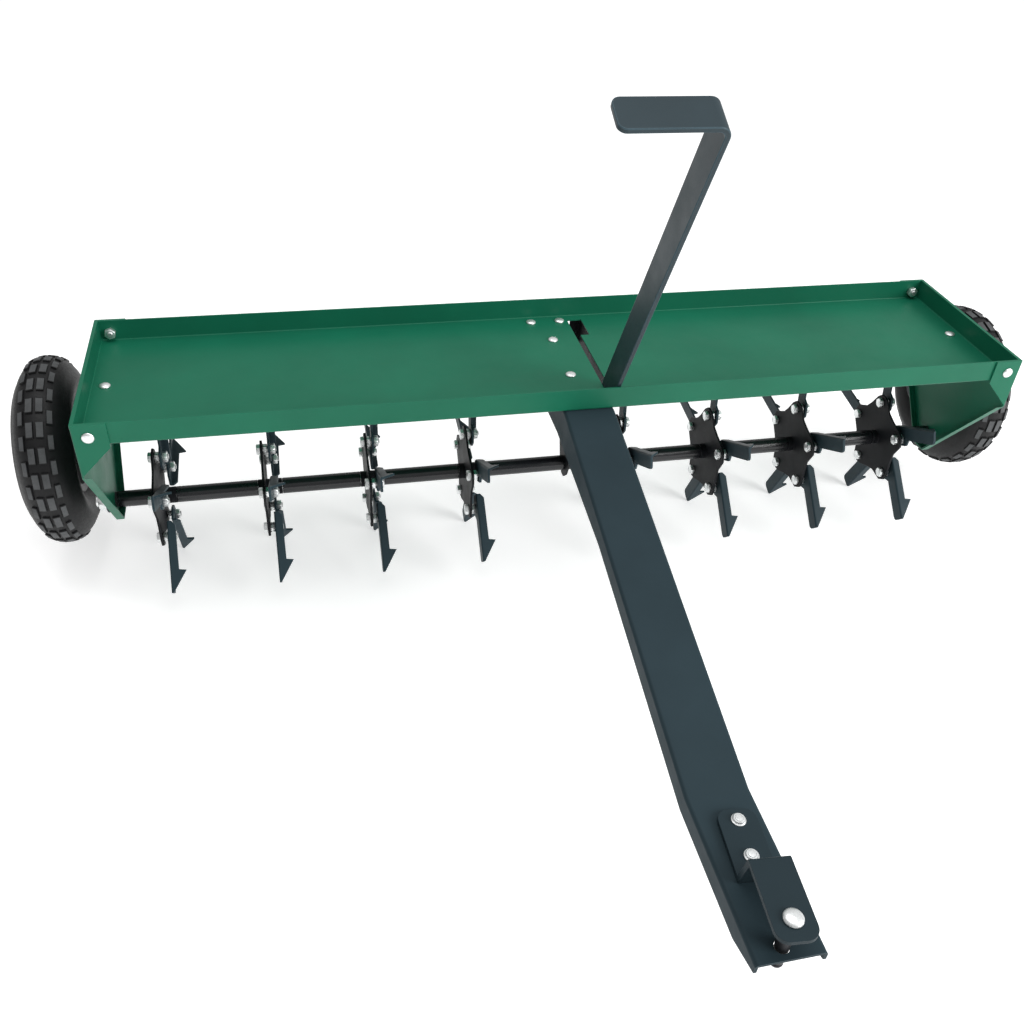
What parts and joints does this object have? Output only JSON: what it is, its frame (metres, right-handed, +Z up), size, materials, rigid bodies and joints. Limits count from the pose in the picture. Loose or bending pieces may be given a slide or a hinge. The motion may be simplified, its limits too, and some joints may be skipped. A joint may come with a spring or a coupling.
{
  "type": "tow-behind core aerator",
  "caption": "Tow-behind lawn aerator with a weight tray, spiders of coring spoons on a cross shaft, a lift lever, transport wheels and a drawbar with a pin hitch.",
  "frame": {"origin": "centre of the overall bounding box in plan, at the level of the lowest spoon tip, in the working position", "axes": "+X along the tray and the cross shaft, +Y rearward (the drawbar points to -Y), +Z up"},
  "size_m": [1.428, 0.9922, 0.7186],
  "materials": {
    "green_paint": "satin green powder coat",
    "black_paint": "satin black powder coat",
    "slate_paint": "satin blue-black powder coat",
    "tine_paint": "satin blue-black coat on the coring spoons",
    "zinc": "bright zinc plate",
    "tyre": "moulded black rubber, block tread",
    "rim_paint": "satin black rim",
    "bearing_steel": "machined hub",
    "nylon": "black nylon bush"
  },
  "bodies": {
    "frame": {"tray": "green_paint", "end_panel_left": "green_paint", "end_panel_right": "green_paint", "panel_bushes": "nylon", "center_hanger": "black_paint", "lever_guide": "black_paint", "drawbar": "slate_paint", "hitch_strap": "slate_paint", "corner_bolts": "zinc", "floor_bolts": "zinc", "drawbar_bolts": "zinc", "hanger_bolts": "zinc", "strap_bolts": "zinc"},
    "lift": {"main_shaft": "black_paint", "spacer_tubes": "black_paint", "lift_lever": "slate_paint", "shaft_nuts": "zinc", "crank_arm_left": "slate_paint", "crank_arm_right": "slate_paint", "wheel_spindle_left": "zinc", "wheel_spindle_right": "zinc"},
    "wheel_left": {"tire_left": "tyre", "rim_left": "rim_paint", "hub_left": "bearing_steel"},
    "wheel_right": {"tire_right": "tyre", "rim_right": "rim_paint", "hub_right": "bearing_steel"},
    "spider_1": {"spider_plate_1": "black_paint", "spoons_1": "tine_paint", "spoon_bolts_1": "zinc"},
    "spider_2": {"spider_plate_2": "black_paint", "spoons_2": "tine_paint", "spoon_bolts_2": "zinc"},
    "spider_3": {"spider_plate_3": "black_paint", "spoons_3": "tine_paint", "spoon_bolts_3": "zinc"},
    "spider_4": {"spider_plate_4": "black_paint", "spoons_4": "tine_paint", "spoon_bolts_4": "zinc"},
    "spider_5": {"spider_plate_5": "black_paint", "spoons_5": "tine_paint", "spoon_bolts_5": "zinc"},
    "spider_6": {"spider_plate_6": "black_paint", "spoons_6": "tine_paint", "spoon_bolts_6": "zinc"},
    "spider_7": {"spider_plate_7": "black_paint", "spoons_7": "tine_paint", "spoon_bolts_7": "zinc"},
    "spider_8": {"spider_plate_8": "black_paint", "spoons_8": "tine_paint", "spoon_bolts_8": "zinc"},
    "pin": {"hitch_pin": "zinc"}
  },
  "joints": [
    {"name": "lift_hinge", "type": "hinge", "parent": "frame", "child": "lift", "pos_m": [0, 0.298, 0.1288], "axis": [-1, 0, 0], "range_deg": [0, 54]},
    {"name": "wheel_left_spin", "type": "hinge", "parent": "lift", "child": "wheel_left", "pos_m": [-0.678, 0.37, 0.168], "axis": [1, 0, 0], "continuous": true},
    {"name": "wheel_right_spin", "type": "hinge", "parent": "lift", "child": "wheel_right", "pos_m": [0.678, 0.37, 0.168], "axis": [1, 0, 0], "continuous": true},
    {"name": "spider_1_spin", "type": "hinge", "parent": "lift", "child": "spider_1", "pos_m": [-0.5435, 0.298, 0.1288], "axis": [1, 0, 0], "continuous": true},
    {"name": "spider_2_spin", "type": "hinge", "parent": "lift", "child": "spider_2", "pos_m": [-0.404, 0.298, 0.1288], "axis": [1, 0, 0], "continuous": true},
    {"name": "spider_3_spin", "type": "hinge", "parent": "lift", "child": "spider_3", "pos_m": [-0.2645, 0.298, 0.1288], "axis": [1, 0, 0], "continuous": true},
    {"name": "spider_4_spin", "type": "hinge", "parent": "lift", "child": "spider_4", "pos_m": [-0.125, 0.298, 0.1288], "axis": [1, 0, 0], "continuous": true},
    {"name": "spider_5_spin", "type": "hinge", "parent": "lift", "child": "spider_5", "pos_m": [0.099, 0.298, 0.1288], "axis": [1, 0, 0], "continuous": true},
    {"name": "spider_6_spin", "type": "hinge", "parent": "lift", "child": "spider_6", "pos_m": [0.2415, 0.298, 0.1288], "axis": [1, 0, 0], "continuous": true},
    {"name": "spider_7_spin", "type": "hinge", "parent": "lift", "child": "spider_7", "pos_m": [0.384, 0.298, 0.1288], "axis": [1, 0, 0], "continuous": true},
    {"name": "spider_8_spin", "type": "hinge", "parent": "lift", "child": "spider_8", "pos_m": [0.5265, 0.298, 0.1288], "axis": [1, 0, 0], "continuous": true},
    {"name": "pin_slide", "type": "slide", "parent": "frame", "child": "pin", "axis": [0, 0, 1], "range_m": [0, 0.075]}
  ]
}
